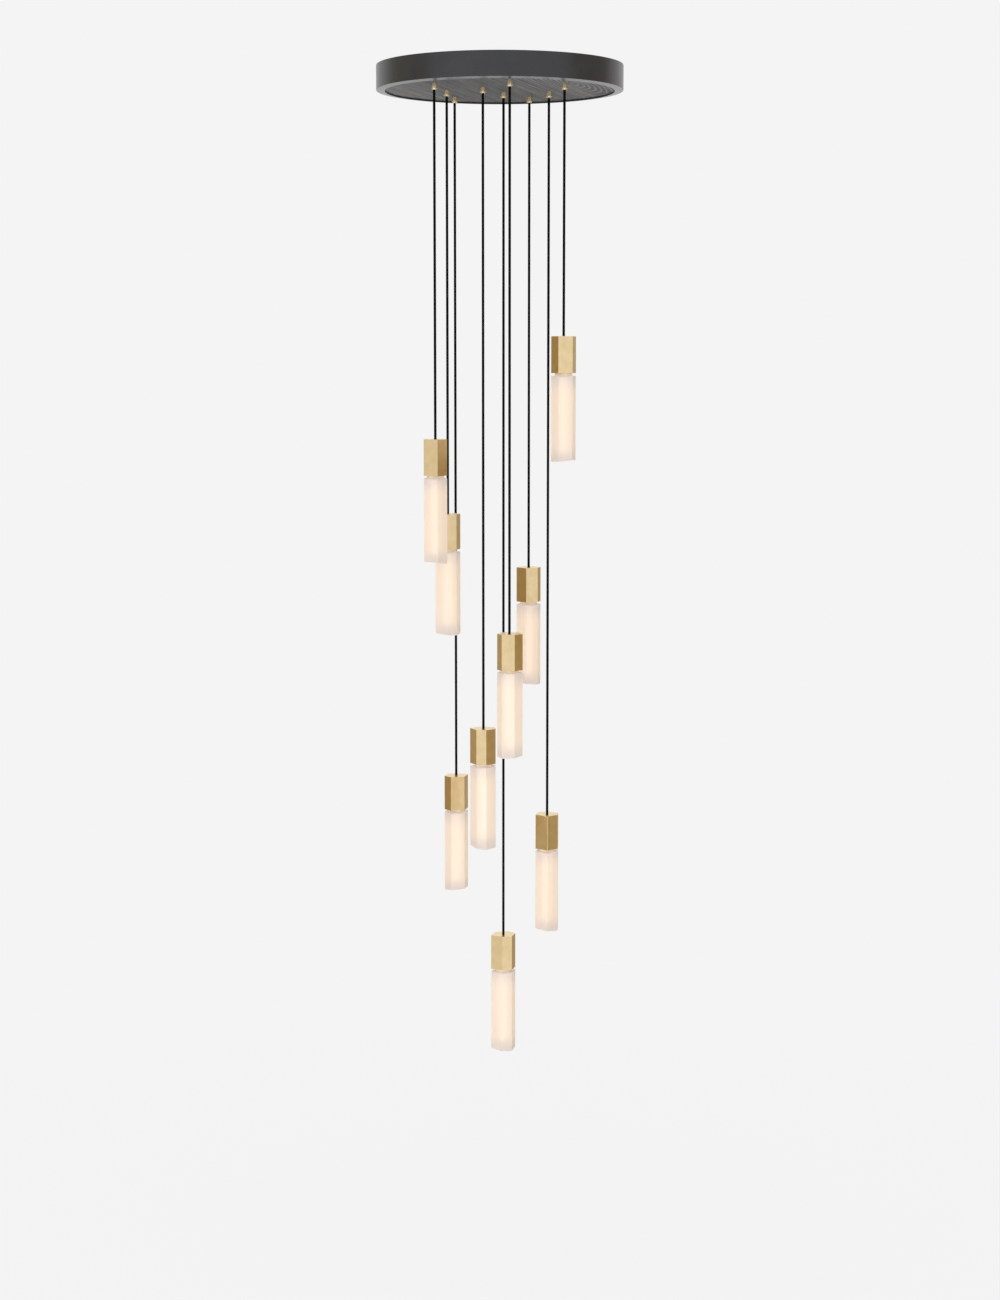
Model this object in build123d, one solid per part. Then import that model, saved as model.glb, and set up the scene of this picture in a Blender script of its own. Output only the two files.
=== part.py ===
from build123d import *
import math
import os

# A cluster pendant: nine lamps of irregular six-sided section hang on straight cords
# from one round ceiling canopy. Millimetres. Z is up and zero at the ceiling, X and Y
# are zero on the canopy's axis, and the front is -Y.

# Canopy
canopy_radius = 265.0
band_height = 52.0
band_wall = 2.0
lip_width = 18.5  # how far the sloping lip reaches inwards
lip_drop = 2.2  # how much lower the lip's inner edge is than its outer edge
disc_recess = 4.0  # from the lip's lowest edge up to the wooden disc
disc_thickness = 9.0
disc_gap = 0.4

# Clips that keep the disc in the band, and their wood screws
clip_count = 4
clip_start_angle = 45.0
clip_width = 20.0
clip_sheet = 2.0
clip_foot = 17.0
clip_leg = 16.0
clip_screw_inset = 11.0  # from the disc's edge
wood_screw_radius = 1.5
wood_screw_depth = 6.0
pilot_hole_spare = 0.5
wood_screw_head_radius = 3.0
wood_screw_head_height = 1.8

# Ceiling bracket
bracket_sheet = 3.0
bracket_plate_radius = 75.0
bracket_arm_width = 30.0
bracket_arm_angles = (0.0, 90.0, 180.0)
bracket_tab_drop = 25.0
bracket_gap = 0.3
ceiling_hole_count = 4
ceiling_hole_circle = 120.0
ceiling_hole_radius = 2.75
cable_hole_radius = 12.5

# Screws through the band into the bracket's tabs
side_screw_radius = 2.0
side_screw_length = 11.0
side_screw_head_radius = 3.6
side_screw_depth = 14.0  # below the ceiling
side_screw_recess = 0.3
side_screw_socket = 1.25

# Earth screw on the bracket's plate
earth_screw_place = (40.0, -28.0)
earth_screw_radius = 2.0
earth_screw_length = 8.0
earth_screw_head_radius = 4.0
earth_screw_head_height = 2.4

# Cord and the grip that holds it in the disc
cord_radius = 2.75
cord_clearance = 0.3
grip_radius = 6.3
grip_barrel = 11.0
grip_cone = 2.5
grip_mouth_wall = 1.3
grip_shank_radius = 5.0
grip_shank_above_disc = 7.0
swing_pivot_height = 1.5  # above the grip's mouth
washer_radius = 8.0
washer_thickness = 1.0
nut_across_flats = 14.0
nut_height = 4.0
grub_screw_radius = 1.5
grub_screw_height = 5.5  # below the disc
grub_screw_recess = 0.4
grub_screw_socket = 0.85
grub_screw_gap = 0.05
socket_depth = 1.2

# Wiring above the disc
junction_radius = 20.0
junction_height = 26.0
junction_place = (5.0, 0.0)
junction_seat_height = 6.0  # of the screw's head, above the disc
junction_screw_radius = 2.0
junction_screw_head_radius = 4.0
junction_screw_head_height = 2.5
wire_radius = 1.75
wire_bend = 13.0
wire_lead = 0.5  # straight stretch before the bend
wire_port_depth = 3.0
tail_stub = 1.0  # how far a tail stands out of its shank

# Lamp section: corners as radius and angle about the cord
section_corners = ((29.8, 0.0), (26.3, 63.0), (27.6, 112.0), (28.0, 172.0), (29.7, 221.0), (27.5, 288.0))

# Holder
holder_height = 77.5
holder_wall = 2.0
holder_top = 6.0
holder_corner_round = 0.9
holder_edge_round = 0.5

# Lampholder inside the holder
lampholder_radius = 19.0
lampholder_height = 37.5
lampholder_end_depth = 67.5  # below the holder's top
lampholder_top_wall = 7.0
nipple_radius = 5.0
nipple_engagement = 4.0
nipple_recess = 1.5  # below the holder's top face
cord_end_inset = 1.0
contact_radius = 4.0
contact_height = 1.2

# Lamp
groove_height = 5.5
glass_height = 181.0
glass_wall = 2.5
glass_top_wall = 3.0
glass_corner_round = 1.5
glass_end_round = 2.2
glass_slope = 6.5
glass_slope_direction = 292.0
glass_slant_spare = 10.0  # extra length before the slanted cut
glass_gap = 0.2
collar_radius = 18.5
collar_rise = 8.5  # how far the collar stands up inside the holder
plug_radius = 14.8
plug_depth = 4.0
cap_radius = 13.05
cap_clearance = 0.3
cap_insulator_height = 3.0
cap_insulator_radius = 6.0
cap_insulator_low_radius = 12.0
button_radius = 4.8
button_height = 2.0
core_radius = 9.0
core_end_space = 18.0
button_gap = 0.3

# Clearances
turn_clearance = 0.2  # round pieces that turn or pass through a hole
thread_clearance = 0.1  # a plain round thread in its plain round hole
cut_margin = 1.0  # how far a cut runs past the face that it opens

longest_drop = 1913.0  # from the ceiling to the top of the lowest holder

# Each lamp: place of its cord, depth of its holder's top, turn about the cord, and the
# direction that its grip's grub screw faces
lamps = (
    (-137.5, -123.0, 792.5, 279.5, 80.0),
    (-114.0, 1.0, 960.0, 203.0, 110.0),
    (-99.5, 133.0, 1566.0, 26.5, 90.0),
    (-36.0, -59.0, 1427.0, 171.0, 205.0),
    (8.0, 35.0, longest_drop, 203.0, 60.0),
    (20.5, -182.0, 1203.0, 121.0, -35.0),
    (65.0, 130.0, 1089.0, 259.0, 120.0),
    (106.0, 27.0, 1635.0, 271.0, 75.0),
    (135.5, -121.0, 575.0, 26.0, 100.0),
)

# Heights that several pieces share
lip_low = -band_height - lip_drop
disc_bottom = lip_low + disc_recess
disc_top = disc_bottom + disc_thickness
disc_radius = canopy_radius - band_wall - disc_gap
bore_radius = cord_radius + cord_clearance
grip_mouth = disc_bottom - grip_barrel - grip_cone
swing_pivot = grip_mouth + swing_pivot_height
shank_top = disc_top + grip_shank_above_disc
nut_top = disc_top + washer_thickness + nut_height
lampholder_top_depth = lampholder_end_depth - lampholder_height
lampholder_bore_radius = cap_radius + cap_clearance
contact_depth = lampholder_top_depth + lampholder_top_wall
nipple_end_depth = lampholder_top_depth + nipple_engagement
cord_end_depth = nipple_end_depth - cord_end_inset
tail_top = shank_top + tail_stub
wire_height = tail_top + wire_lead + wire_bend
junction_seat = disc_top + junction_seat_height
glass_top_depth = holder_height + groove_height
collar_top_depth = holder_height - collar_rise
button_top_depth = contact_depth + contact_height + button_gap
core_length = glass_height - plug_depth - core_end_space


def rod(radius, low, high, x=0.0, y=0.0):
    """A round bar that stands between two heights."""
    return Pos(x, y, low) * Cylinder(radius, high - low, align=(Align.CENTER, Align.CENTER, Align.MIN))


def tube(radius, bore, low, high, x=0.0, y=0.0):
    return rod(radius, low, high, x, y) - rod(bore, low, high, x, y)


def cone(low_radius, high_radius, low, high):
    centred = (Align.CENTER, Align.CENTER, Align.MIN)
    return Pos(0, 0, low) * Cone(low_radius, high_radius, high - low, align=centred)


def hexagon(across_flats):
    return RegularPolygon(across_flats / 2, 6, major_radius=False)


def revolved(points):
    """A solid turned about Z from an outline of (radius, height) points."""
    outline = Polyline([(r, 0, z) for r, z in points], close=True)
    return revolve(make_face(outline), Axis.Z)


def around(count, start, shape):
    """Copies of a shape, evenly turned about the canopy's axis."""
    return [Rot(0, 0, start + 360.0 * i / count) * shape for i in range(count)]


def place_lamp(lamp, shape):
    x, y, depth, turn, _ = lamp
    return Pos(x, y, -depth) * Rot(0, 0, turn) * shape


def clip_screw_radius():
    return disc_radius - clip_screw_inset


def make_band():
    inner = canopy_radius - band_wall
    lip_inner = canopy_radius - lip_width
    band = revolved([
        (canopy_radius, 0), (canopy_radius, -band_height), (lip_inner, lip_low),
        (lip_inner, disc_bottom), (inner, disc_bottom), (inner, 0),
    ])
    head_top = canopy_radius - side_screw_recess
    head_low = head_top - side_screw_head_radius + side_screw_radius
    rim_radius = side_screw_head_radius + turn_clearance
    hole = rod(side_screw_radius + turn_clearance, inner - cut_margin, canopy_radius)
    hole += cone(side_screw_radius, rim_radius, head_low - turn_clearance, head_top)
    hole += rod(rim_radius, head_top, canopy_radius + cut_margin)
    hole = Pos(0, 0, -side_screw_depth) * Rot(0, 90, 0) * hole
    for angle in bracket_arm_angles:
        band -= Rot(0, 0, angle) * hole
    return band


def make_side_screws():
    screws = []
    for angle in bracket_arm_angles:
        top = canopy_radius - side_screw_recess
        head_depth = side_screw_head_radius - side_screw_radius
        head = cone(side_screw_radius, side_screw_head_radius, top - head_depth, top)
        screw = rod(side_screw_radius, top - side_screw_length, top - head_depth) + head
        socket = extrude(Pos(0, 0, top) * RegularPolygon(side_screw_socket, 6), -socket_depth)
        screws.append(Rot(0, 0, angle) * Pos(0, 0, -side_screw_depth) * Rot(0, 90, 0) * (screw - socket))
    return screws


def make_disc():
    disc = rod(disc_radius, disc_bottom, disc_top)
    for x, y, *_ in lamps:
        disc -= rod(grip_shank_radius + turn_clearance, disc_bottom, disc_top, x, y)
    pilot_low = disc_top - wood_screw_depth - pilot_hole_spare
    pilot = rod(wood_screw_radius + thread_clearance, pilot_low, disc_top, clip_screw_radius())
    for hole in around(clip_count, clip_start_angle, pilot):
        disc -= hole
    x, y = junction_place
    return disc - rod(junction_screw_radius + thread_clearance, pilot_low, disc_top, x, y)


def make_clips():
    foot = Pos(disc_radius, 0, disc_top) * Box(
        clip_foot, clip_width, clip_sheet, align=(Align.MAX, Align.CENTER, Align.MIN))
    leg = Pos(disc_radius, 0, disc_top) * Box(
        clip_sheet, clip_width, clip_leg, align=(Align.MAX, Align.CENTER, Align.MIN))
    hole = rod(wood_screw_radius + turn_clearance, disc_top, disc_top + clip_sheet, clip_screw_radius())
    edge = disc_radius * disc_radius - clip_width * clip_width / 4
    back = canopy_radius - band_wall - math.sqrt(edge)
    return around(clip_count, clip_start_angle, Pos(-back / 2, 0, 0) * (foot + leg) - hole)


def make_clip_screws():
    head_low = disc_top + clip_sheet
    screw = rod(wood_screw_radius, disc_top - wood_screw_depth, head_low)
    screw += rod(wood_screw_head_radius, head_low, head_low + wood_screw_head_height)
    return around(clip_count, clip_start_angle, Pos(clip_screw_radius(), 0, 0) * screw)


def make_bracket():
    bracket = rod(bracket_plate_radius, -bracket_sheet, 0)
    inner = canopy_radius - band_wall - bracket_gap
    reach = math.sqrt(inner * inner - bracket_arm_width * bracket_arm_width / 4)
    for angle in bracket_arm_angles:
        arm = Box(reach, bracket_arm_width, bracket_sheet, align=(Align.MIN, Align.CENTER, Align.MAX))
        tab = Pos(reach, 0, 0) * Box(
            bracket_sheet, bracket_arm_width, bracket_tab_drop, align=(Align.MAX, Align.CENTER, Align.MAX))
        hole_start = reach - bracket_sheet - cut_margin
        hole = rod(side_screw_radius + thread_clearance, hole_start, reach + cut_margin)
        bracket += Rot(0, 0, angle) * (arm + tab)
        bracket -= Rot(0, 0, angle) * Pos(0, 0, -side_screw_depth) * Rot(0, 90, 0) * hole
    bracket -= rod(cable_hole_radius, -bracket_sheet, 0)
    hole = rod(ceiling_hole_radius, -bracket_sheet, 0, ceiling_hole_circle / 2)
    for each in around(ceiling_hole_count, 180.0 / ceiling_hole_count, hole):
        bracket -= each
    x, y = earth_screw_place
    return bracket - rod(earth_screw_radius + thread_clearance, -bracket_sheet, 0, x, y)


def make_earth_screw():
    x, y = earth_screw_place
    top = -bracket_sheet
    screw = rod(earth_screw_radius, top - earth_screw_length, -turn_clearance, x, y)
    return [screw + rod(earth_screw_head_radius, top - earth_screw_head_height, top, x, y)]


def make_grips():
    grips = []
    barrel = rod(grip_radius, disc_bottom - grip_barrel, disc_bottom)
    barrel += cone(bore_radius + grip_mouth_wall, grip_radius, grip_mouth, disc_bottom - grip_barrel)
    barrel += rod(grip_shank_radius, disc_bottom, shank_top)
    barrel -= rod(bore_radius, grip_mouth, shank_top)
    hole = rod(grub_screw_radius + thread_clearance, 0, grip_radius + cut_margin)
    hole = Pos(0, 0, disc_bottom - grub_screw_height) * Rot(0, 90, 0) * hole
    for x, y, _, _, grub_angle in lamps:
        grips.append(Pos(x, y, 0) * (barrel - Rot(0, 0, grub_angle) * hole))
    return grips


def make_grub_screws():
    screws = []
    outer = math.sqrt(grip_radius ** 2 - grub_screw_radius ** 2) - grub_screw_recess
    screw = rod(grub_screw_radius, cord_radius + grub_screw_gap, outer)
    screw -= extrude(Pos(0, 0, outer) * RegularPolygon(grub_screw_socket, 6), -socket_depth)
    for x, y, _, _, grub_angle in lamps:
        turned = Rot(0, 0, grub_angle) * Pos(0, 0, disc_bottom - grub_screw_height) * Rot(0, 90, 0) * screw
        screws.append(Pos(x, y, 0) * turned)
    return screws


def make_washers():
    bore = grip_shank_radius + turn_clearance
    return [tube(washer_radius, bore, disc_top, disc_top + washer_thickness, x, y) for x, y, *_ in lamps]


def make_nuts():
    nuts = []
    low = disc_top + washer_thickness
    for x, y, _, turn, _ in lamps:
        nut = extrude(Pos(x, y, low) * Rot(0, 0, turn) * hexagon(nut_across_flats), nut_height)
        nuts.append(nut - rod(grip_shank_radius + thread_clearance, low, nut_top, x, y))
    return nuts


def make_tails():
    """The clamped end of each cord, from inside its grip to just above the shank."""
    low = swing_pivot + cord_radius + cord_clearance
    return [rod(cord_radius, low, tail_top, x, y) for x, y, *_ in lamps]


def junction_direction(x, y):
    return math.degrees(math.atan2(y - junction_place[1], x - junction_place[0]))


def make_wires():
    """The inner wires of each cord, bent over from its end into the junction block."""
    wires = []
    middle_x, middle_y = junction_place
    end = junction_radius - wire_port_depth + turn_clearance
    for x, y, *_ in lamps:
        distance = math.hypot(x - middle_x, y - middle_y)
        path = FilletPolyline(
            (distance, 0, tail_top), (distance, 0, wire_height), (end, 0, wire_height), radius=wire_bend)
        wire = sweep(Plane(path @ 0, z_dir=path % 0) * Circle(wire_radius), path=path)
        wires.append(Pos(middle_x, middle_y, 0) * Rot(0, 0, junction_direction(x, y)) * wire)
    return wires


def make_junction():
    middle_x, middle_y = junction_place
    top = disc_top + junction_height
    block = rod(junction_radius, disc_top, top)
    block -= rod(junction_screw_radius + turn_clearance, disc_top, top)
    block -= rod(junction_screw_head_radius + turn_clearance, junction_seat, top)
    port_radius = wire_radius + turn_clearance
    port = rod(port_radius, junction_radius - wire_port_depth, junction_radius + cut_margin)
    port = Pos(0, 0, wire_height) * Rot(0, 90, 0) * port
    for x, y, *_ in lamps:
        block -= Rot(0, 0, junction_direction(x, y)) * port
    return [Pos(middle_x, middle_y, 0) * block]


def make_junction_screw():
    x, y = junction_place
    head_top = junction_seat + junction_screw_head_height
    screw = rod(junction_screw_radius, disc_top - wood_screw_depth, junction_seat, x, y)
    return [screw + rod(junction_screw_head_radius, junction_seat, head_top, x, y)]


def make_cord(lamp):
    """The hanging cord, with a round end that pivots in the mouth of its grip."""
    x, y, depth, _, _ = lamp
    cord = rod(cord_radius, -depth - cord_end_depth, swing_pivot, x, y)
    return cord + Pos(x, y, swing_pivot) * Sphere(cord_radius)


def section(inset=0.0):
    corners = [(r * math.cos(math.radians(a)), r * math.sin(math.radians(a))) for r, a in section_corners]
    outline = make_face(Polyline(corners, close=True))
    return outline if inset == 0 else offset(outline, -inset, kind=Kind.INTERSECTION)


def upright_edges(shape):
    return shape.edges().filter_by(Axis.Z)


def make_holder():
    shell = extrude(Pos(0, 0, -holder_height) * section(), holder_height)
    shell = fillet(upright_edges(shell), holder_corner_round)
    shell = fillet(shell.faces().sort_by(Axis.Z)[-1].edges(), holder_edge_round)
    shell -= extrude(Pos(0, 0, -holder_height) * section(holder_wall), holder_height - holder_top)
    shell -= rod(bore_radius, -holder_top, 0)
    return shell - rod(nipple_radius + thread_clearance, -holder_top, -nipple_recess)


def make_lampholder():
    cup = rod(lampholder_radius, -lampholder_end_depth, -lampholder_top_depth)
    cup -= rod(lampholder_bore_radius, -lampholder_end_depth, -contact_depth)
    cup -= rod(nipple_radius + thread_clearance, -nipple_end_depth, -lampholder_top_depth)
    contact = rod(contact_radius, -contact_depth - contact_height, -contact_depth)
    nipple = tube(nipple_radius, bore_radius, -nipple_end_depth, -nipple_recess)
    nut_low = -holder_top - nut_height
    nut = extrude(Pos(0, 0, nut_low) * hexagon(nut_across_flats), nut_height)
    nut -= rod(nipple_radius + thread_clearance, nut_low, -holder_top)
    return [cup, contact, nipple, nut]


def make_base():
    button_low = button_top_depth + button_height
    shell_top = button_low + cap_insulator_height
    button = rod(button_radius, -button_low, -button_top_depth)
    insulator = cone(cap_insulator_low_radius, cap_insulator_radius, -shell_top, -button_low)
    shell = rod(cap_radius, -collar_top_depth, -shell_top)
    collar = rod(collar_radius, -glass_top_depth, -collar_top_depth)
    collar += rod(plug_radius, -glass_top_depth - plug_depth, -glass_top_depth)
    core = rod(core_radius, -glass_top_depth - plug_depth - core_length, -glass_top_depth - plug_depth)
    return [button, insulator, shell, collar, core]


def slanted_end(shape, depth):
    """Cuts a lamp's lower end along its slanted plane, at a depth on the cord's axis."""
    slab = Box(glass_height, glass_height, glass_height, align=(Align.CENTER, Align.CENTER, Align.MAX))
    return shape - Pos(0, 0, -depth) * Rot(0, 0, glass_slope_direction) * Rot(0, -glass_slope, 0) * slab


def make_glass():
    top = glass_top_depth + glass_gap
    full = glass_height + 2 * glass_slant_spare
    body = extrude(Pos(0, 0, -top - full) * section(), full)
    body = slanted_end(body, glass_top_depth + glass_height)
    body = fillet(upright_edges(body), glass_corner_round)
    body = fillet(body.faces().sort_by(Axis.Z)[0].edges(), glass_end_round)
    body = fillet(body.faces().sort_by(Axis.Z)[-1].edges(), glass_corner_round / 2)
    hollow = extrude(Pos(0, 0, -top - full) * section(glass_wall), full - glass_top_wall)
    hollow = slanted_end(hollow, glass_top_depth + glass_height - glass_wall)
    return body - hollow - rod(plug_radius + turn_clearance, -top - glass_top_wall, -top)


def save(node, shapes):
    solids = shapes if isinstance(shapes, list) else [shapes]
    flat = [solid for shape in solids for solid in shape.solids()]
    export_step(Compound(children=flat) if len(flat) > 1 else flat[0], f"parts/{node}.step")


def main():
    os.makedirs("parts", exist_ok=True)
    save("canopy_band", make_band())
    save("wood_disc", make_disc())
    save("disc_clips", make_clips())
    save("clip_screws", make_clip_screws())
    save("ceiling_bracket", make_bracket())
    save("side_screws", make_side_screws())
    save("earth_screw", make_earth_screw())
    save("cord_grips", make_grips())
    save("grub_screws", make_grub_screws())
    save("grip_washers", make_washers())
    save("grip_nuts", make_nuts())
    save("cord_tails", make_tails())
    save("inner_wires", make_wires())
    save("junction_block", make_junction())
    save("junction_screw", make_junction_screw())

    holder = make_holder()
    lampholder = Compound(children=make_lampholder())
    base = Compound(children=make_base())
    glass = make_glass()
    for number, lamp in enumerate(lamps, 1):
        save(f"cord_{number}", make_cord(lamp))
        save(f"holder_{number}", place_lamp(lamp, holder))
        save(f"lampholder_{number}", place_lamp(lamp, lampholder))
        save(f"bulb_base_{number}", place_lamp(lamp, base))
        save(f"bulb_glass_{number}", place_lamp(lamp, glass))


main()
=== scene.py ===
import math

import bpy
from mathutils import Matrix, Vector


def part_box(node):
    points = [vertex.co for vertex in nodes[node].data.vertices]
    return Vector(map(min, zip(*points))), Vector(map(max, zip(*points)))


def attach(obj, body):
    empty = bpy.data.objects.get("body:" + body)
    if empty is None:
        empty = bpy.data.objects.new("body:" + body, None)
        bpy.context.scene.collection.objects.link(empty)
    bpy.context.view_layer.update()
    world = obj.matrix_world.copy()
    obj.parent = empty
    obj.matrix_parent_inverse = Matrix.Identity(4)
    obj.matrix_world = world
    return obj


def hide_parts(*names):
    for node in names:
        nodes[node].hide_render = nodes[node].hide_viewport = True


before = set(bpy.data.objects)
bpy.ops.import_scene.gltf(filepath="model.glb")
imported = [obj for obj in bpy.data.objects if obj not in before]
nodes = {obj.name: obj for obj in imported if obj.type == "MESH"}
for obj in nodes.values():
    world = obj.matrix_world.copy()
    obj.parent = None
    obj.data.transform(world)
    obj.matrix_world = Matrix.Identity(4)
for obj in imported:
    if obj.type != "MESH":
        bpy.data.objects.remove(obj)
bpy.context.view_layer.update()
lampNumbers = range(1, 10)
print("frame loaded:", len(nodes), "nodes")


# the photograph's own camera, solved from the canopy's outlines
camera = {
    "place": (0.0004, -5.078, -0.6207),
    "pitch": 82.81,
    "lens": 64.11,
    "sensor": 36.0,
    "farthest": 100.0,
}

# the room around the lamp: none of it belongs to the object
room = {
    "floorHeight": -2.75,
    "floorSize": 60.0,
    "floorGrey": 0.85,
    "floorReach": 3.0,         # how far out the floor differs from the backdrop
    "floorLift": 0.07,         # how much brighter it is straight under the lamp
    "floorShadow": 0.2,        # share of it there that takes real light and shadow
    "backdrop": 0.904,
    "worldLevel": 0.55,
    "lampsAboveFloor": 1.0,    # for the shape of the flags' image on the floor
    # what metal mirrors, by the way it looks: 0 is straight behind the object, 1 straight at its front
    "mirrored": (
        (0.213, (0.925, 0.922, 0.918)), (0.289, (0.400, 0.304, 0.160)),
        (0.66, (0.400, 0.296, 0.135)), (0.706, (0.99, 0.99, 1.0)),
    ),
    # what that is multiplied by below the horizon and just above it
    "rearShade": (
        (0.012, (1.15, 1.15, 1.15)), (0.034, (0.48, 0.395, 0.255)),
        (0.213, (0.52, 0.44, 0.31)), (0.289, (1.0, 1.0, 1.0)),
    ),
    "shadeTop": 0.03,          # height at which that shade starts to fade, 0 at the horizon and 1 overhead
    "shadeFade": 0.05,
    "upperFrom": 0.12,         # height from which the mirrored room gets brighter
    "upperGain": 0.5,
}

softboxes = (
    {"name": "keySoftbox", "place": (-2.0, -4.4, 1.0), "aim": (0, 0, -1.1), "size": 4.0, "power": 58},
    {"name": "fillSoftbox", "place": (3.0, -4.0, -0.8), "aim": (0, 0, -1.2), "size": 3.0, "power": 18},
    {"name": "backSoftbox", "place": (0.8, 4.6, 0.4), "aim": (0, 0, -1.1), "size": 3.5, "power": 24},
    {"name": "lowSoftbox", "place": (-0.4, -1.2, -2.70), "aim": (0, 0.1, 0.0), "size": 3.0, "power": 47},
)


# one number that changes over a surface, written with the usual signs
class Num:
    def __init__(self, sheet, socket):
        self.sheet = sheet
        self.socket = socket

    def work(self, operation, first, second=None):
        node = self.sheet.tree.nodes.new("ShaderNodeMath")
        node.operation = operation
        for slot, item in enumerate((first, second)):
            if isinstance(item, Num):
                self.sheet.tree.links.new(item.socket, node.inputs[slot])
            elif item is not None:
                node.inputs[slot].default_value = item
        return Num(self.sheet, node.outputs[0])

    def __add__(self, other):
        return self.work("ADD", self, other)

    def __radd__(self, other):
        return self.work("ADD", other, self)

    def __sub__(self, other):
        return self.work("SUBTRACT", self, other)

    def __rsub__(self, other):
        return self.work("SUBTRACT", other, self)

    def __mul__(self, other):
        return self.work("MULTIPLY", self, other)

    def __rmul__(self, other):
        return self.work("MULTIPLY", other, self)

    def __truediv__(self, other):
        return self.work("DIVIDE", self, other)

    def __rtruediv__(self, other):
        return self.work("DIVIDE", other, self)

    def sine(self):
        return self.work("SINE", self)

    def size(self):
        return self.work("ABSOLUTE", self)

    def root(self):
        return self.work("SQRT", self)

    def angleTo(self, other):
        return self.work("ARCTAN2", self, other)

    def least(self, other):
        return self.work("MINIMUM", self, other)

    def most(self, other):
        return self.work("MAXIMUM", self, other)

    def held(self):
        return self.most(0.0).least(1.0)


# one material or world, with its nodes
class Sheet:
    def __init__(self, owner):
        self.owner = owner
        owner.use_nodes = True
        self.tree = owner.node_tree
        self.tree.nodes.clear()

    def node(self, kind, settings=None, sockets=None):
        made = self.tree.nodes.new(kind)
        for name, value in (settings or {}).items():
            if name == "stops":
                self.setStops(made, value)
            else:
                setattr(made, name, value)
        for name, value in (sockets or {}).items():
            target = made.inputs[name]
            if isinstance(value, Num):
                self.tree.links.new(value.socket, target)
            elif isinstance(value, bpy.types.NodeSocket):
                self.tree.links.new(value, target)
            else:
                target.default_value = value
        return made

    def setStops(self, ramp, stops):
        elements = ramp.color_ramp.elements
        while len(elements) < len(stops):
            elements.new(0.5)
        for element, (place, colour) in zip(elements, stops):
            element.position = place
            element.color = (*colour, 1.0)

    def num(self, kind, output, settings, sockets):
        return Num(self, self.node(kind, settings, sockets).outputs[output])

    def objectPlace(self, centre=(0, 0, 0), turn=0.0):
        source = self.node("ShaderNodeTexCoord").outputs["Object"]
        moved = self.node("ShaderNodeMapping", {"vector_type": "POINT"}, {
            "Vector": source, "Location": tuple(-c for c in centre)}).outputs[0]
        return self.node("ShaderNodeMapping", {"vector_type": "POINT"}, {
            "Vector": moved, "Rotation": (0, 0, -turn)}).outputs[0]

    def parts(self, vector):
        split = self.node("ShaderNodeSeparateXYZ", None, {"Vector": vector})
        return [Num(self, split.outputs[axis]) for axis in range(3)]

    def stretched(self, vector, scale):
        return self.node("ShaderNodeMapping", {"vector_type": "POINT"}, {
            "Vector": vector, "Scale": scale}).outputs[0]

    def noise(self, vector, scale, detail, rough=0.5):
        return self.num("ShaderNodeTexNoise", "Fac", {"noise_dimensions": "3D"}, {
            "Vector": vector, "Scale": scale, "Detail": detail, "Roughness": rough})

    def ramp(self, value, stops):
        return self.node("ShaderNodeValToRGB", {"stops": stops}, {"Fac": value}).outputs["Color"]

    def bump(self, height, depth, strength):
        return self.node("ShaderNodeBump", None, {
            "Height": height, "Distance": depth, "Strength": strength}).outputs["Normal"]

    def surface(self, sockets):
        shader = self.node("ShaderNodeBsdfPrincipled", None, sockets)
        self.node("ShaderNodeOutputMaterial", None, {"Surface": shader.outputs[0]})
        return self.owner


def newSheet(name):
    return Sheet(bpy.data.materials.new(name))


charcoal = {
    "dark": (0.0360, 0.0371, 0.0398),
    "pale": (0.0440, 0.0451, 0.0478),
    "roughness": 0.24,
    "specular": 0.31,
    "cloudScale": 14.0,
    "peelScale": 900.0,
    "peelDepth": 0.00002,
}


# charcoal powder coat: nearly even, with a very fine orange peel
def makeBandPaint():
    sheet = newSheet("bandPaint")
    place = sheet.objectPlace()
    cloud = sheet.noise(place, charcoal["cloudScale"], 3.0)
    peel = sheet.noise(place, charcoal["peelScale"], 2.0)
    colour = sheet.ramp(cloud, ((0.3, charcoal["dark"]), (0.7, charcoal["pale"])))
    return sheet.surface({
        "Base Color": colour,
        "Roughness": charcoal["roughness"] + 0.06 * cloud,
        "Specular IOR Level": charcoal["specular"],
        "Normal": sheet.bump(peel, charcoal["peelDepth"], 0.4),
    })


oak = {
    "heart": (0.150, -0.13),    # middle of the arched figure, right of the disc's middle and near its front
    "turn": -0.29,              # the grain runs from the front left to the back right
    "stretch": 0.20,            # the arches' width as a share of their length
    "ringPitch": 0.0066,
    "widening": 3.0,            # how fast the rings get wider away from the heart
    "reach": 0.17,              # how far from the heart the arches can still be told
    "sway": 0.008,
    "paintedLightFrom": 0.23,           # distance across the grain from the heart at which painted light starts to pale the wood, towards the disc's left
    "fade": 2.6,
    # how fine each pattern is across the grain, along it and through the board
    "swayScale": (14.0, 2.2, 1.0),
    "streakScale": (75.0, 2.4, 60.0),
    "fibreScale": (620.0, 14.0, 60.0),
    "poreScale": (1500.0, 60.0, 60.0),
    "poreFrom": 0.58,
    # the plain wood's tone from dark to pale, and how much each pattern changes it
    "tone": 0.362,
    "lateTone": 0.60,
    "streakTone": 0.95,
    "fibreTone": 0.8,
    "poreTone": 0.2,
    "colours": (
        (0.0, (0.060, 0.060, 0.061)), (0.45, (0.128, 0.129, 0.130)), (1.0, (0.300, 0.301, 0.303)),
    ),
    "roughness": 0.72,
    "specular": 0.12,
    "poreDepth": 0.00012,
}
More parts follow.
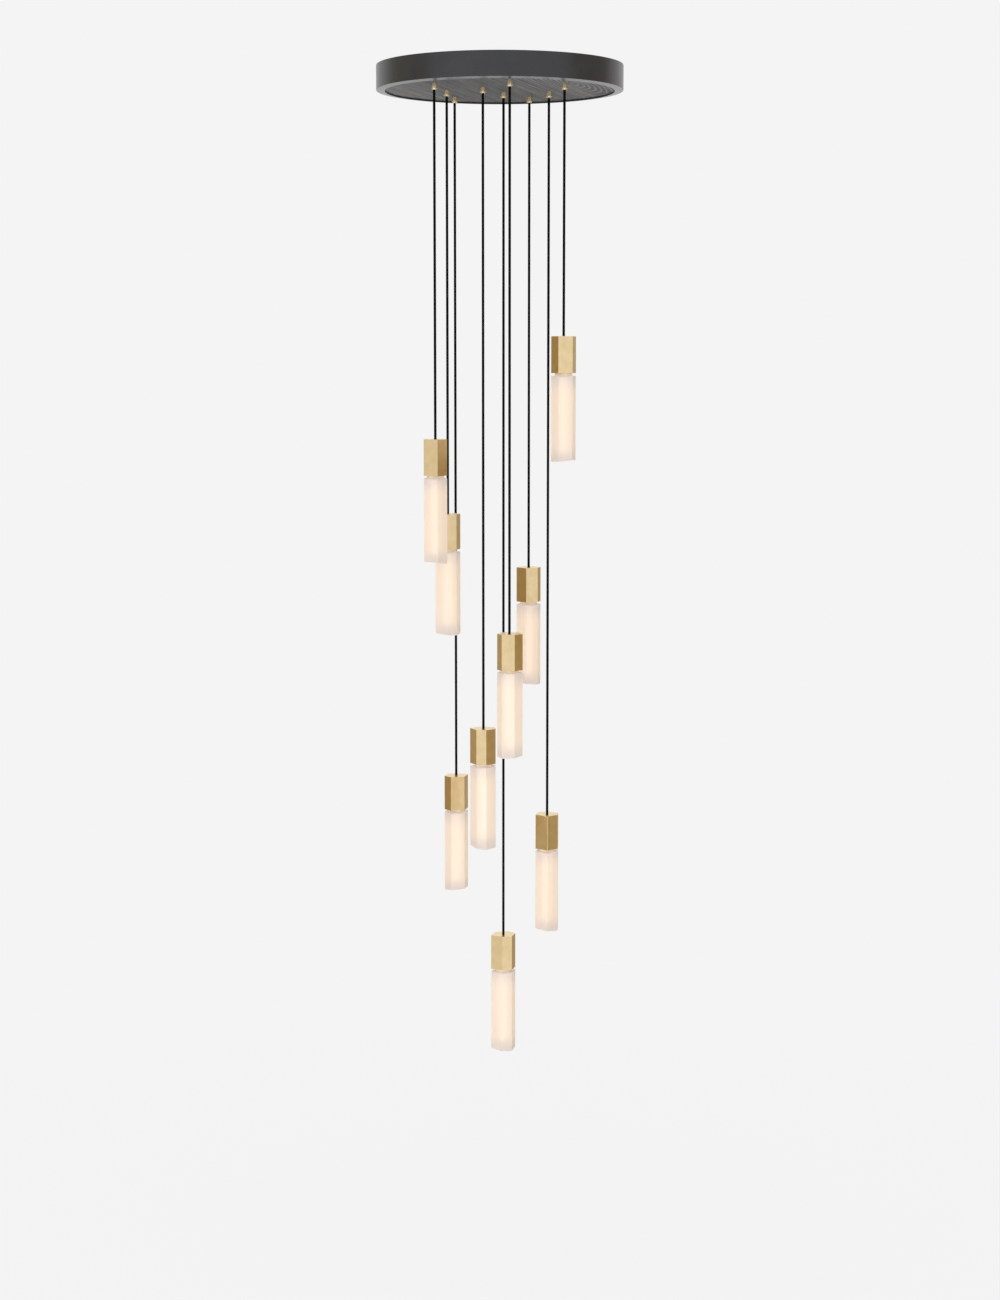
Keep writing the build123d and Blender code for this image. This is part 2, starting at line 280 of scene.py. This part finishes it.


# black-stained oak: nested arches at the right that open into long streaks at the left, and open pores;
# painted light pales it towards its left
def makeStainedOak():
    sheet = newSheet("stainedOak")
    place = sheet.objectPlace((*oak["heart"], 0), oak["turn"])
    across, along, _ = sheet.parts(place)
    sway = sheet.noise(sheet.stretched(place, oak["swayScale"]), 1.0, 3.0)
    reach = along * oak["stretch"]
    ring = (across * across + reach * reach).root() + (sway - 0.5) * oak["sway"] * 2.0
    count = ring * (1.0 / oak["ringPitch"]) / (1.0 + ring * oak["widening"])
    late = (count * (2 * math.pi)).sine() * 0.5 + 0.5
    late = late * late * (1.0 - ring / oak["reach"]).held()
    streak = sheet.noise(sheet.stretched(place, oak["streakScale"]), 1.0, 3.0, 0.6)
    fibre = sheet.noise(sheet.stretched(place, oak["fibreScale"]), 1.0, 3.0, 0.6)
    pore = sheet.noise(sheet.stretched(place, oak["poreScale"]), 1.0, 1.0)
    pit = ((pore - oak["poreFrom"]) * 9.0).held()
    # painted light: the wood is made paler far across the grain from the heart, towards the disc's left,
    # for the light that falls there
    pale = (across * across - oak["paintedLightFrom"] ** 2).held() * oak["fade"]
    tone = oak["tone"] + pale + late * oak["lateTone"] + (streak - 0.5) * oak["streakTone"]
    tone = (tone + (fibre - 0.5) * oak["fibreTone"] - pit * oak["poreTone"]).held()
    colour = sheet.ramp(tone, oak["colours"])
    return sheet.surface({
        "Base Color": colour,
        "Roughness": oak["roughness"] - 0.12 * tone + 0.12 * pit,
        "Specular IOR Level": oak["specular"],
        "Normal": sheet.bump(tone * 0.5 - pit, oak["poreDepth"], 0.5),
    })


brass = {
    "pale": (0.91, 0.73, 0.44),
    "deep": (0.70, 0.53, 0.27),
    "roughness": 0.26,
    "brushScale": (2600.0, 2600.0, 26.0),
    "brushDepth": 0.00001,
    "cloudScale": 60.0,
}


# brushed along the length, with a faint cloudiness under the lacquer
def makeBrushedBrass():
    sheet = newSheet("brushedBrass")
    place = sheet.objectPlace()
    brush = sheet.noise(sheet.stretched(place, brass["brushScale"]), 1.0, 2.0, 0.6)
    cloud = sheet.noise(place, brass["cloudScale"], 3.0)
    mixed = brush * 0.55 + cloud * 0.45
    colour = sheet.ramp(mixed, ((0.25, brass["deep"]), (0.75, brass["pale"])))
    return sheet.surface({
        "Base Color": colour,
        "Metallic": 1.0,
        "Roughness": brass["roughness"] + 0.10 * brush,
        "Normal": sheet.bump(brush, brass["brushDepth"], 0.4),
    })


lathe = {
    "pale": (0.96, 0.82, 0.55),
    "deep": (0.90, 0.74, 0.46),
    "roughness": 0.12,
    "ringPitch": 0.0004,
    "ringDepth": 0.000004,
    "ringStrength": 0.18,       # stronger rings cut the reflections into jagged pieces
    "cloudScale": 150.0,
}


# turned on a lathe: fine rings round the fitting
def makeTurnedBrass():
    sheet = newSheet("turnedBrass")
    place = sheet.objectPlace()
    _, _, height = sheet.parts(place)
    ring = (height * (2 * math.pi / lathe["ringPitch"])).sine()
    cloud = sheet.noise(place, lathe["cloudScale"], 2.0)
    colour = sheet.ramp(cloud, ((0.3, lathe["deep"]), (0.7, lathe["pale"])))
    return sheet.surface({
        "Base Color": colour,
        "Metallic": 0.85,
        "Roughness": lathe["roughness"] + 0.05 * cloud,
        "Anisotropic": 0.9,
        "Anisotropic Rotation": 0.25,
        "Normal": sheet.bump(ring, lathe["ringDepth"], lathe["ringStrength"]),
    })


glow = {
    "middle": (0.265, 0.206, 0.151),
    "ends": (0.185, 0.152, 0.134),
    "glass": (0.62, 0.588, 0.562),
    "through": 0.5,     # how much light goes straight on through the milky wall
    "edge": 0.038,      # how far the paler ends reach in from the glass's two ends
    "core": (1.0, 0.83, 0.62),
    "coreStrength": 1.3,
    "collar": (0.55, 0.40, 0.24),
    "collarStrength": 0.45,
}


# opal glass lit from inside: warm in the middle of its height, greyer towards both ends
def makeOpalGlass(number):
    low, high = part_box("bulb_glass_%d" % number)
    sheet = newSheet("opalGlass_%d" % number)
    place = sheet.objectPlace((0, 0, (low.z + high.z) / 2))
    _, _, height = sheet.parts(place)
    fromEnd = ((high.z - low.z) / 2 - height.size()) / glow["edge"]
    lit = fromEnd.held()
    lit = lit * lit * (3.0 - 2.0 * lit)
    warmth = sheet.ramp(lit, ((0.0, glow["ends"]), (1.0, glow["middle"])))
    skin = sheet.noise(place, 220.0, 2.0)
    return sheet.surface({
        "Base Color": (*glow["glass"], 1.0),
        "Roughness": 0.42 + 0.06 * skin,
        "Specular IOR Level": 0.25,
        "Transmission Weight": glow["through"],
        "Emission Color": warmth,
        "Emission Strength": 1.0,
        "Normal": sheet.bump(skin, 0.00001, 0.3),
    })


# the lit rod inside the glass
def makeLightCore():
    sheet = newSheet("lightCore")
    place = sheet.objectPlace()
    grain = sheet.noise(place, 300.0, 2.0)
    return sheet.surface({
        "Base Color": (0.8, 0.76, 0.7, 1.0),
        "Roughness": 0.4 + 0.1 * grain,
        "Emission Color": (*glow["core"], 1.0),
        "Emission Strength": glow["coreStrength"],
    })


# white moulded collar, warm from the light inside
def makeCollar():
    sheet = newSheet("warmCollar")
    place = sheet.objectPlace()
    grain = sheet.noise(place, 500.0, 2.0)
    colour = sheet.ramp(grain, ((0.3, (0.70, 0.62, 0.50)), (0.7, (0.76, 0.68, 0.56))))
    return sheet.surface({
        "Base Color": colour,
        "Roughness": 0.45 + 0.1 * grain,
        "Emission Color": (*glow["collar"], 1.0),
        "Emission Strength": glow["collarStrength"],
    })


braid = {
    "dark": (0.002, 0.002, 0.002),
    "pale": (0.012, 0.012, 0.012),
    "strands": 8.0,
    "pitch": 0.0042,
    "depth": 0.00012,
    "fuzzScale": 2500.0,
}


# black braid: two sets of strands wound opposite ways round the cord
def makeBraid(number):
    low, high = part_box("cord_%d" % number)
    sheet = newSheet("blackBraid_%d" % number)
    place = sheet.objectPlace(((low.x + high.x) / 2, (low.y + high.y) / 2, 0))
    x, y, height = sheet.parts(place)
    around = y.angleTo(x) * braid["strands"]
    along = height * (2 * math.pi / braid["pitch"])
    right = (around + along).sine()
    left = (around - along).sine()
    weave = right.most(left) * 0.5 + 0.5
    fuzz = sheet.noise(place, braid["fuzzScale"], 2.0)
    colour = sheet.ramp(weave * 0.8 + fuzz * 0.2, ((0.2, braid["dark"]), (1.0, braid["pale"])))
    return sheet.surface({
        "Base Color": colour,
        "Roughness": 0.75 + 0.2 * fuzz,
        "Specular IOR Level": 0.0,
        "Normal": sheet.bump(weave * 0.9 + fuzz * 0.1, braid["depth"], 0.4),
    })


zinc = {
    "dark": (0.50, 0.52, 0.55),
    "pale": (0.62, 0.63, 0.65),
    "roughness": 0.32,
    "spangleScale": 160.0,
    "scuffScale": (40.0, 700.0, 700.0),
}


# galvanised steel: small crystals and fine scuffs
def makeZincSteel():
    sheet = newSheet("zincSteel")
    place = sheet.objectPlace()
    spangle = sheet.num("ShaderNodeTexVoronoi", "Distance", {"feature": "F1"}, {
        "Vector": place, "Scale": zinc["spangleScale"]})
    scuff = sheet.noise(sheet.stretched(place, zinc["scuffScale"]), 1.0, 2.0)
    colour = sheet.ramp(spangle, ((0.1, zinc["dark"]), (0.6, zinc["pale"])))
    return sheet.surface({
        "Base Color": colour,
        "Metallic": 1.0,
        "Roughness": zinc["roughness"] + 0.2 * scuff,
        "Normal": sheet.bump(scuff, 0.00002, 0.5),
    })


def makeMoulded(name, dark, light, roughness):
    sheet = newSheet(name)
    place = sheet.objectPlace()
    grain = sheet.noise(place, 700.0, 3.0)
    colour = sheet.ramp(grain, ((0.3, dark), (0.7, light)))
    return sheet.surface({
        "Base Color": colour,
        "Roughness": roughness + 0.12 * grain,
        "Normal": sheet.bump(grain, 0.00003, 0.4),
    })


def paint(piece, material):
    piece.data.materials.clear()
    piece.data.materials.append(material)


def deselectAll():
    for item in bpy.context.selected_objects:
        item.select_set(False)


def selectOnly(piece):
    deselectAll()
    piece.select_set(True)
    bpy.context.view_layer.objects.active = piece


# a copy with its own mesh
def copyOf(master, name):
    piece = master.copy()
    piece.data = master.data.copy()
    piece.name = name
    piece.data.name = name
    bpy.context.scene.collection.objects.link(piece)
    return piece


def startEditing():
    bpy.ops.object.mode_set(mode="EDIT")
    bpy.ops.mesh.select_all(action="SELECT")


# closes the seams and the poles of the piece that is being edited, and turns its faces outwards
def joinSeams():
    bpy.ops.mesh.select_all(action="SELECT")
    bpy.ops.mesh.remove_doubles(threshold=0.000005)
    bpy.ops.mesh.delete_loose(use_verts=True, use_edges=True, use_faces=False)
    bpy.ops.mesh.select_all(action="SELECT")
    bpy.ops.mesh.fill_holes(sides=4)
    bpy.ops.mesh.normals_make_consistent(inside=False)
    bpy.ops.object.mode_set(mode="OBJECT")


def applyAll(piece):
    bpy.context.view_layer.objects.active = piece
    for modifier in list(piece.modifiers):
        bpy.ops.object.modifier_apply(modifier=modifier.name)


# a ring of edges drawn out step by step into a closed round body, as (radius, height) stops in metres
def turnedBody(name, sides, stops):
    deselectAll()
    bpy.ops.mesh.primitive_circle_add(vertices=sides, radius=stops[0][0], location=(0, 0, stops[0][1]))
    piece = bpy.context.active_object
    piece.name = name
    bpy.ops.object.transform_apply(location=True, rotation=True, scale=True)
    startEditing()
    radius, height = stops[0]
    for nextRadius, nextHeight in (*stops[1:], stops[0]):
        bpy.ops.mesh.extrude_region_move(TRANSFORM_OT_translate={"value": (0, 0, nextHeight - height)})
        grow = nextRadius / radius
        bpy.ops.transform.resize(value=(grow, grow, 1))
        radius, height = nextRadius, nextHeight
    joinSeams()
    piece.data.name = name
    return piece


def roundEdges(piece, width, segments, angle=25.0):
    bevel = piece.modifiers.new("roundedEdges", "BEVEL")
    bevel.width = width
    bevel.segments = segments
    bevel.limit_method = "ANGLE"
    bevel.angle_limit = math.radians(angle)
    applyAll(piece)


def smooth(piece, angle=35.0):
    selectOnly(piece)
    bpy.ops.object.shade_smooth_by_angle(angle=math.radians(angle))
    weighted = piece.modifiers.new("evenShading", "WEIGHTED_NORMAL")
    weighted.keep_sharp = True
    applyAll(piece)


# cuts one shape out of a piece and throws the cutter away
def cutAway(piece, cutter):
    cut = piece.modifiers.new("cut", "BOOLEAN")
    cut.operation = "DIFFERENCE"
    cut.solver = "EXACT"
    cut.object = cutter
    deselectAll()
    applyAll(piece)
    bpy.data.objects.remove(cutter, do_unlink=True)


# puts the piece's place into its mesh and leaves its object at the origin
def settle(piece):
    selectOnly(piece)
    bpy.ops.object.transform_apply(location=True, rotation=True, scale=True)


band = {
    "sides": 240,
    "radius": 0.265,
    "height": 0.052,
    "wall": 0.002,
    "lipInner": 0.2465,
    "lipLow": -0.0542,
    "lipTop": -0.0502,
    "edge": 0.0005,
    "edgeSteps": 3,
    "screwAngles": (0, 90, 180),
    "screwHeight": -0.014,
    # length, inner and outer radius of each screw's two cutters: its bore and its countersink
    "cutters": ((0.02, 0.0022, 0.0022), (0.0036, 0.0020, 0.0056)),
    "cutterSides": 40,
    "cutterInset": 0.0003,      # how far inside the band's face their middles stand
}


# the canopy's steel band with its sloping lip, its rounded edges and three countersunk holes
def makeBand(material):
    inner = band["radius"] - band["wall"]
    piece = turnedBody("canopyBand", band["sides"], (
        (band["radius"], 0.0), (band["radius"], -band["height"]), (band["lipInner"], band["lipLow"]),
        (band["lipInner"], band["lipTop"]), (inner, band["lipTop"]), (inner, 0.0)))
    roundEdges(piece, band["edge"], band["edgeSteps"])
    for angle in band["screwAngles"]:
        turn = math.radians(angle)
        way = Vector((math.cos(turn), math.sin(turn), 0))
        middle = way * (band["radius"] - band["cutterInset"]) + Vector((0, 0, band["screwHeight"]))
        for length, low, high in band["cutters"]:
            deselectAll()
            bpy.ops.mesh.primitive_cone_add(
                vertices=band["cutterSides"], radius1=low, radius2=high, depth=length,
                location=middle, rotation=(0, math.pi / 2, turn))
            cutAway(piece, bpy.context.active_object)
    startEditing()
    joinSeams()
    smooth(piece)
    paint(piece, material)
    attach(piece, "canopy")
    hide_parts("canopy_band")


# each lamp's cord in the disc, the depth of its holder's top and its turn about the cord
lampPlaces = (
    (-0.1375, -0.1230, 0.7925, 279.5), (-0.1140, 0.0010, 0.9600, 203.0), (-0.0995, 0.1330, 1.5660, 26.5),
    (-0.0360, -0.0590, 1.4270, 171.0), (0.0080, 0.0350, 1.9130, 203.0), (0.0205, -0.1820, 1.2030, 121.0),
    (0.0650, 0.1300, 1.0890, 259.0), (0.1060, 0.0270, 1.6350, 271.0), (0.1355, -0.1210, 0.5750, 26.0),
)

grips = {
    "sides": 48,
    # radius and height of each turned step, from the mouth up, in millimetres
    "steps": (
        (3.05, -63.7), (4.0, -63.7), (4.3, -63.45), (6.0, -61.5), (6.15, -61.1), (6.15, -60.6),
        (5.85, -60.4), (5.85, -60.1), (6.2, -59.9), (6.3, -52.0), (6.3, -50.7), (6.05, -50.45),
        (6.05, -50.2), (5.0, -50.2), (5.0, -34.6), (4.6, -34.2), (3.05, -34.2), (3.05, -50.0),
    ),
    # the way each lamp's grub screw faces, and the cutter of its hole
    "grubFacings": (80.0, 110.0, 90.0, 205.0, 60.0, -35.0, 120.0, 75.0, 100.0),
    "grubHeight": -0.0557,
    "grubRadius": 0.0016,
    "cutterSides": 24,
    "cutterLength": 0.006,
    "cutterReach": 0.0066,      # distance of its middle from the cord's
}


# nine turned brass grips, each drilled for its grub screw
def makeGrips(material):
    master = turnedBody("gripMaster", grips["sides"], [(r / 1000, z / 1000) for r, z in grips["steps"]])
    made = []
    for (x, y, _, _), facing in zip(lampPlaces, grips["grubFacings"]):
        turn = math.radians(facing)
        reach = grips["cutterReach"]
        grip = copyOf(master, "grip")
        deselectAll()
        bpy.ops.mesh.primitive_cylinder_add(
            vertices=grips["cutterSides"], radius=grips["grubRadius"], depth=grips["cutterLength"],
            location=(reach * math.cos(turn), reach * math.sin(turn), grips["grubHeight"]),
            rotation=(0, math.pi / 2, turn))
        cutAway(grip, bpy.context.active_object)
        grip.location = (x, y, 0)
        settle(grip)
        made.append(grip)
    bpy.data.objects.remove(master, do_unlink=True)
    piece = made[0]
    selectOnly(piece)
    for grip in made:
        grip.select_set(True)
    bpy.ops.object.join()
    startEditing()
    joinSeams()
    piece.name = "cordGrips"
    piece.data.name = "cordGrips"
    smooth(piece, 30.0)
    paint(piece, material)
    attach(piece, "canopy")
    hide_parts("cord_grips")


onAxis = 0.002    # millimetres: so small a ring closes into one point

# one lamp's base, in millimetres: each turned step is a radius and a depth below the holder's top
lampBase = {
    "sides": 64,
    "cap": ((4.0, 43.6), (4.6, 38.9), (4.2, 38.5), (onAxis, 38.5), (onAxis, 43.6)),
    "insulator": ((onAxis, 43.5), (onAxis, 40.5), (6.0, 40.5), (8.0, 41.0), (12.0, 43.5)),
    "threadRadius": 13.05,
    "threadDepth": 0.75,
    "threadPitch": 3.629,
    "threadTop": 43.6,
    "threadLow": 68.9,
    "threadRings": 84,
    "threadWall": 1.6,
    "threadRunOut": 2.5,        # how far from both ends the thread fades
    "collar": (
        (13.2, 69.0), (17.9, 69.0), (18.5, 69.6), (18.5, 76.6), (18.1, 76.9), (18.1, 77.4), (18.5, 77.7),
        (18.5, 82.4), (18.0, 83.0), (14.8, 83.0), (14.8, 86.6), (14.4, 87.0), (9.4, 87.0), (9.4, 84.0),
        (13.2, 84.0),
    ),
    "core": (
        (onAxis, 87.1), (8.7, 87.1), (9.0, 87.4), (9.0, 238.0), (8.6, 241.0), (7.0, 243.9), (4.0, 245.6),
        (onAxis, 246.0),
    ),
}


def turnedFrom(name, steps):
    return turnedBody(name, lampBase["sides"], [(r / 1000, -d / 1000) for r, d in steps])


# a screw cap with a true spiral thread, pressed from thin metal and closed at both ends
def makeThread():
    top, low = lampBase["threadTop"], lampBase["threadLow"]
    rings = lampBase["threadRings"]
    radius = lampBase["threadRadius"]
    wall = lampBase["threadWall"]
    runOut = lampBase["threadRunOut"]
    outer = [(radius, top + (low - top) * i / rings) for i in range(rings + 1)]
    piece = turnedFrom("screwCap", outer + [(radius - wall, low), (radius - wall, top)])
    for vertex in piece.data.vertices:
        place = vertex.co
        reach = math.hypot(place.x, place.y) * 1000
        depth = -place.z * 1000
        if reach < radius - wall / 2:    # the plain inner wall
            continue
        fade = min(1.0, (depth - top) / runOut, (low - depth) / runOut)
        angle = 2 * math.pi * depth / lampBase["threadPitch"] + math.atan2(place.y, place.x)
        wave = 0.5 + 0.5 * math.cos(angle)
        shrink = 1 - lampBase["threadDepth"] * fade * wave / radius
        place.x *= shrink
        place.y *= shrink
    return piece


def makeLampBases(finish):
    masters = (
        (makeThread(), "cap"),
        (turnedFrom("capContact", lampBase["cap"]), "cap"),
        (turnedFrom("capInsulator", lampBase["insulator"]), "insulator"),
        (turnedFrom("lampCollar", lampBase["collar"]), "collar"),
        (turnedFrom("lightCore", lampBase["core"]), "core"),
    )
    for master, _ in masters:
        smooth(master, 40.0)
    for number, (x, y, depth, turn) in enumerate(lampPlaces, 1):
        for master, kind in masters:
            piece = copyOf(master, "%s_%d" % (master.name, number))
            piece.location = (x, y, -depth)
            piece.rotation_euler = (0, 0, math.radians(turn))
            settle(piece)
            material, slotName = finish[kind]
            paint(piece, material)
            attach(piece, "bulb_carrier_%d" % number)
            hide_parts("bulb_base_%d" % number)
    for master, _ in masters:
        bpy.data.objects.remove(master, do_unlink=True)


cordFacts = {
    "diameter": 0.0055,
    "top": -0.0600,        # just inside the grip
    "bevelSides": 6,
}


# one straight hanging cord, from inside its grip to inside its holder
def makeCord(number, material):
    low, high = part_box("cord_%d" % number)
    x = (low.x + high.x) / 2
    y = (low.y + high.y) / 2
    top = cordFacts["top"]
    route = [(x, y, top), (x, y, (top + low.z) / 2), (x, y, low.z)]
    curve = bpy.data.curves.new("hangingCord_%d" % number, "CURVE")
    curve.dimensions = "3D"
    line = curve.splines.new("NURBS")
    line.points.add(len(route) - 1)
    for point, place in zip(line.points, route):
        point.co = (*place, 1.0)
    line.order_u = 3
    line.use_endpoint_u = True
    curve.bevel_depth = cordFacts["diameter"] / 2
    curve.bevel_resolution = cordFacts["bevelSides"]
    curve.use_fill_caps = True
    cord = bpy.data.objects.new("hangingCord_%d" % number, curve)
    bpy.context.scene.collection.objects.link(cord)
    curve.materials.append(material)
    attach(cord, "hanging_cord_%d" % number)
    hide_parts("cord_%d" % number)


# tells reflections from what is seen straight or through glass
def rayKinds(sheet):
    path = sheet.node("ShaderNodeLightPath")
    gloss = Num(sheet, path.outputs["Is Glossy Ray"])
    through = Num(sheet, path.outputs["Is Transmission Ray"])
    return gloss, Num(sheet, path.outputs["Is Camera Ray"]).most(through)


# soft light ahead and behind, a dark warm flag at each side and some shade between flag and back
def mirroredRoom(sheet, x, y, rise):
    across = (x * x + y * y + 0.0001).root()    # never quite nothing, even straight up or down
    facing = (0.0 - y) / across * 0.5 + 0.5
    light = sheet.ramp(facing, room["mirrored"])
    shade = sheet.ramp(facing, room["rearShade"])
    level = ((rise - room["shadeTop"]) / room["shadeFade"]).held()
    return sheet.node("ShaderNodeMix", {"data_type": "RGBA", "blend_type": "MULTIPLY"}, {
        "Factor": 1.0 - level, 6: light, 7: shade}).outputs[2]


def lightWorld():
    world = bpy.context.scene.world or bpy.data.worlds.new("studio")
    bpy.context.scene.world = world
    sheet = Sheet(world)
    x, y, z = sheet.parts(sheet.node("ShaderNodeTexCoord").outputs["Generated"])
    gloss, plain = rayKinds(sheet)
    level = room["worldLevel"] * (1.0 - plain) + room["backdrop"] * plain
    soft = sheet.node("ShaderNodeBackground", None, {"Color": (1, 1, 1, 1), "Strength": level})
    shaped = sheet.node("ShaderNodeBackground", None, {
        "Color": mirroredRoom(sheet, x, y, z),
        "Strength": 1.0 + room["upperGain"] * (z - room["upperFrom"]).held()})
    mixed = sheet.node("ShaderNodeMixShader", None, {0: gloss, 1: soft.outputs[0], 2: shaped.outputs[0]})
    sheet.node("ShaderNodeOutputWorld", None, {"Surface": mixed.outputs[0]})


# a pale floor that keeps the lamp's shadow and shows metal the same room as the world does
def layFloor():
    deselectAll()
    bpy.ops.mesh.primitive_plane_add(size=room["floorSize"], location=(0, 0, room["floorHeight"]))
    floor = bpy.context.active_object
    floor.name = "studioFloor"
    sheet = newSheet("paleFloor")
    x, y, _ = sheet.parts(sheet.objectPlace())
    far = ((x * x + y * y).root() / room["floorReach"]).held()
    drop = room["lampsAboveFloor"]
    rise = (0.0 - drop) / (x * x + y * y + drop * drop).root()
    gloss, plain = rayKinds(sheet)
    grey = room["floorGrey"]
    matt = sheet.node("ShaderNodeBsdfDiffuse", None, {"Color": (grey, grey, grey, 1)})
    lift = room["floorLift"]
    even = sheet.node("ShaderNodeEmission", None, {
        "Color": (1, 1, 1, 1), "Strength": room["backdrop"] * (1.0 + lift - lift * far)})
    shaped = sheet.node("ShaderNodeEmission", None, {
        "Color": mirroredRoom(sheet, x, y, rise), "Strength": 1.0})
    real = room["floorShadow"]
    seen = sheet.node("ShaderNodeMixShader", None, {
        0: plain * (1.0 - real + real * far), 1: matt.outputs[0], 2: even.outputs[0]})
    mixed = sheet.node("ShaderNodeMixShader", None, {0: gloss, 1: seen.outputs[0], 2: shaped.outputs[0]})
    sheet.node("ShaderNodeOutputMaterial", None, {"Surface": mixed.outputs[0]})
    paint(floor, sheet.owner)


def hangSoftboxes():
    for box in softboxes:
        data = bpy.data.lights.new(box["name"], "AREA")
        data.shape = "SQUARE"
        data.size = box["size"]
        data.energy = box["power"]
        light = bpy.data.objects.new(box["name"], data)
        light.location = box["place"]
        aim = Vector(box["aim"]) - Vector(box["place"])
        light.rotation_euler = aim.to_track_quat("-Z", "Y").to_euler()
        light.visible_glossy = False
        light.visible_camera = False
        bpy.context.scene.collection.objects.link(light)


def makeCamera():
    data = bpy.data.cameras.new("photoCamera")
    data.sensor_width = camera["sensor"]
    data.lens = camera["lens"]
    data.clip_end = camera["farthest"]
    eye = bpy.data.objects.new("photoCamera", data)
    eye.location = camera["place"]
    eye.rotation_euler = (math.radians(camera["pitch"]), 0, 0)
    bpy.context.scene.collection.objects.link(eye)
    bpy.context.scene.camera = eye


makeCamera()
lightWorld()
layFloor()
hangSoftboxes()
print("camera and room ready")

for number in lampNumbers:
    makeCord(number, makeBraid(number))
print("cords hung")

bandPaint = makeBandPaint()
stainedOak = makeStainedOak()
brushedBrass = makeBrushedBrass()
turnedBrass = makeTurnedBrass()
warmCollar = makeCollar()
zincSteel = makeZincSteel()
phenolic = makeMoulded("blackPhenolic", (0.016, 0.016, 0.017), (0.028, 0.028, 0.030), 0.35)
wireSleeve = makeMoulded("wireSleeve", (0.24, 0.24, 0.24), (0.32, 0.32, 0.32), 0.5)
tailBraid = makeMoulded("tailBraid", (0.008, 0.008, 0.008), (0.02, 0.02, 0.02), 0.7)

makeBand(bandPaint)
makeGrips(turnedBrass)
finishes = (
    (bandPaint, ("side_screws",)),
    (stainedOak, ("wood_disc",)),
    (zincSteel, (
        "ceiling_bracket", "disc_clips", "clip_screws", "grub_screws", "grip_washers", "junction_screw",
    )),
    (turnedBrass, ("earth_screw", "grip_nuts")),
    (tailBraid, ("cord_tails",)),
    (wireSleeve, ("inner_wires",)),
    (phenolic, ("junction_block",)),
)
for material, names in finishes:
    for name in names:
        paint(nodes[name], material)
print("canopy dressed")

for number in lampNumbers:
    paint(nodes["holder_%d" % number], brushedBrass)
    paint(nodes["bulb_glass_%d" % number], makeOpalGlass(number))
    paint(nodes["lampholder_%d" % number], phenolic)
makeLampBases({
    "cap": (zincSteel, "zinc_steel"), "insulator": (phenolic, "black_phenolic"),
    "collar": (warmCollar, "white_collar"), "core": (makeLightCore(), "opal_glass"),
})
print("lamps dressed")

bpy.context.scene.view_settings.view_transform = "Standard"
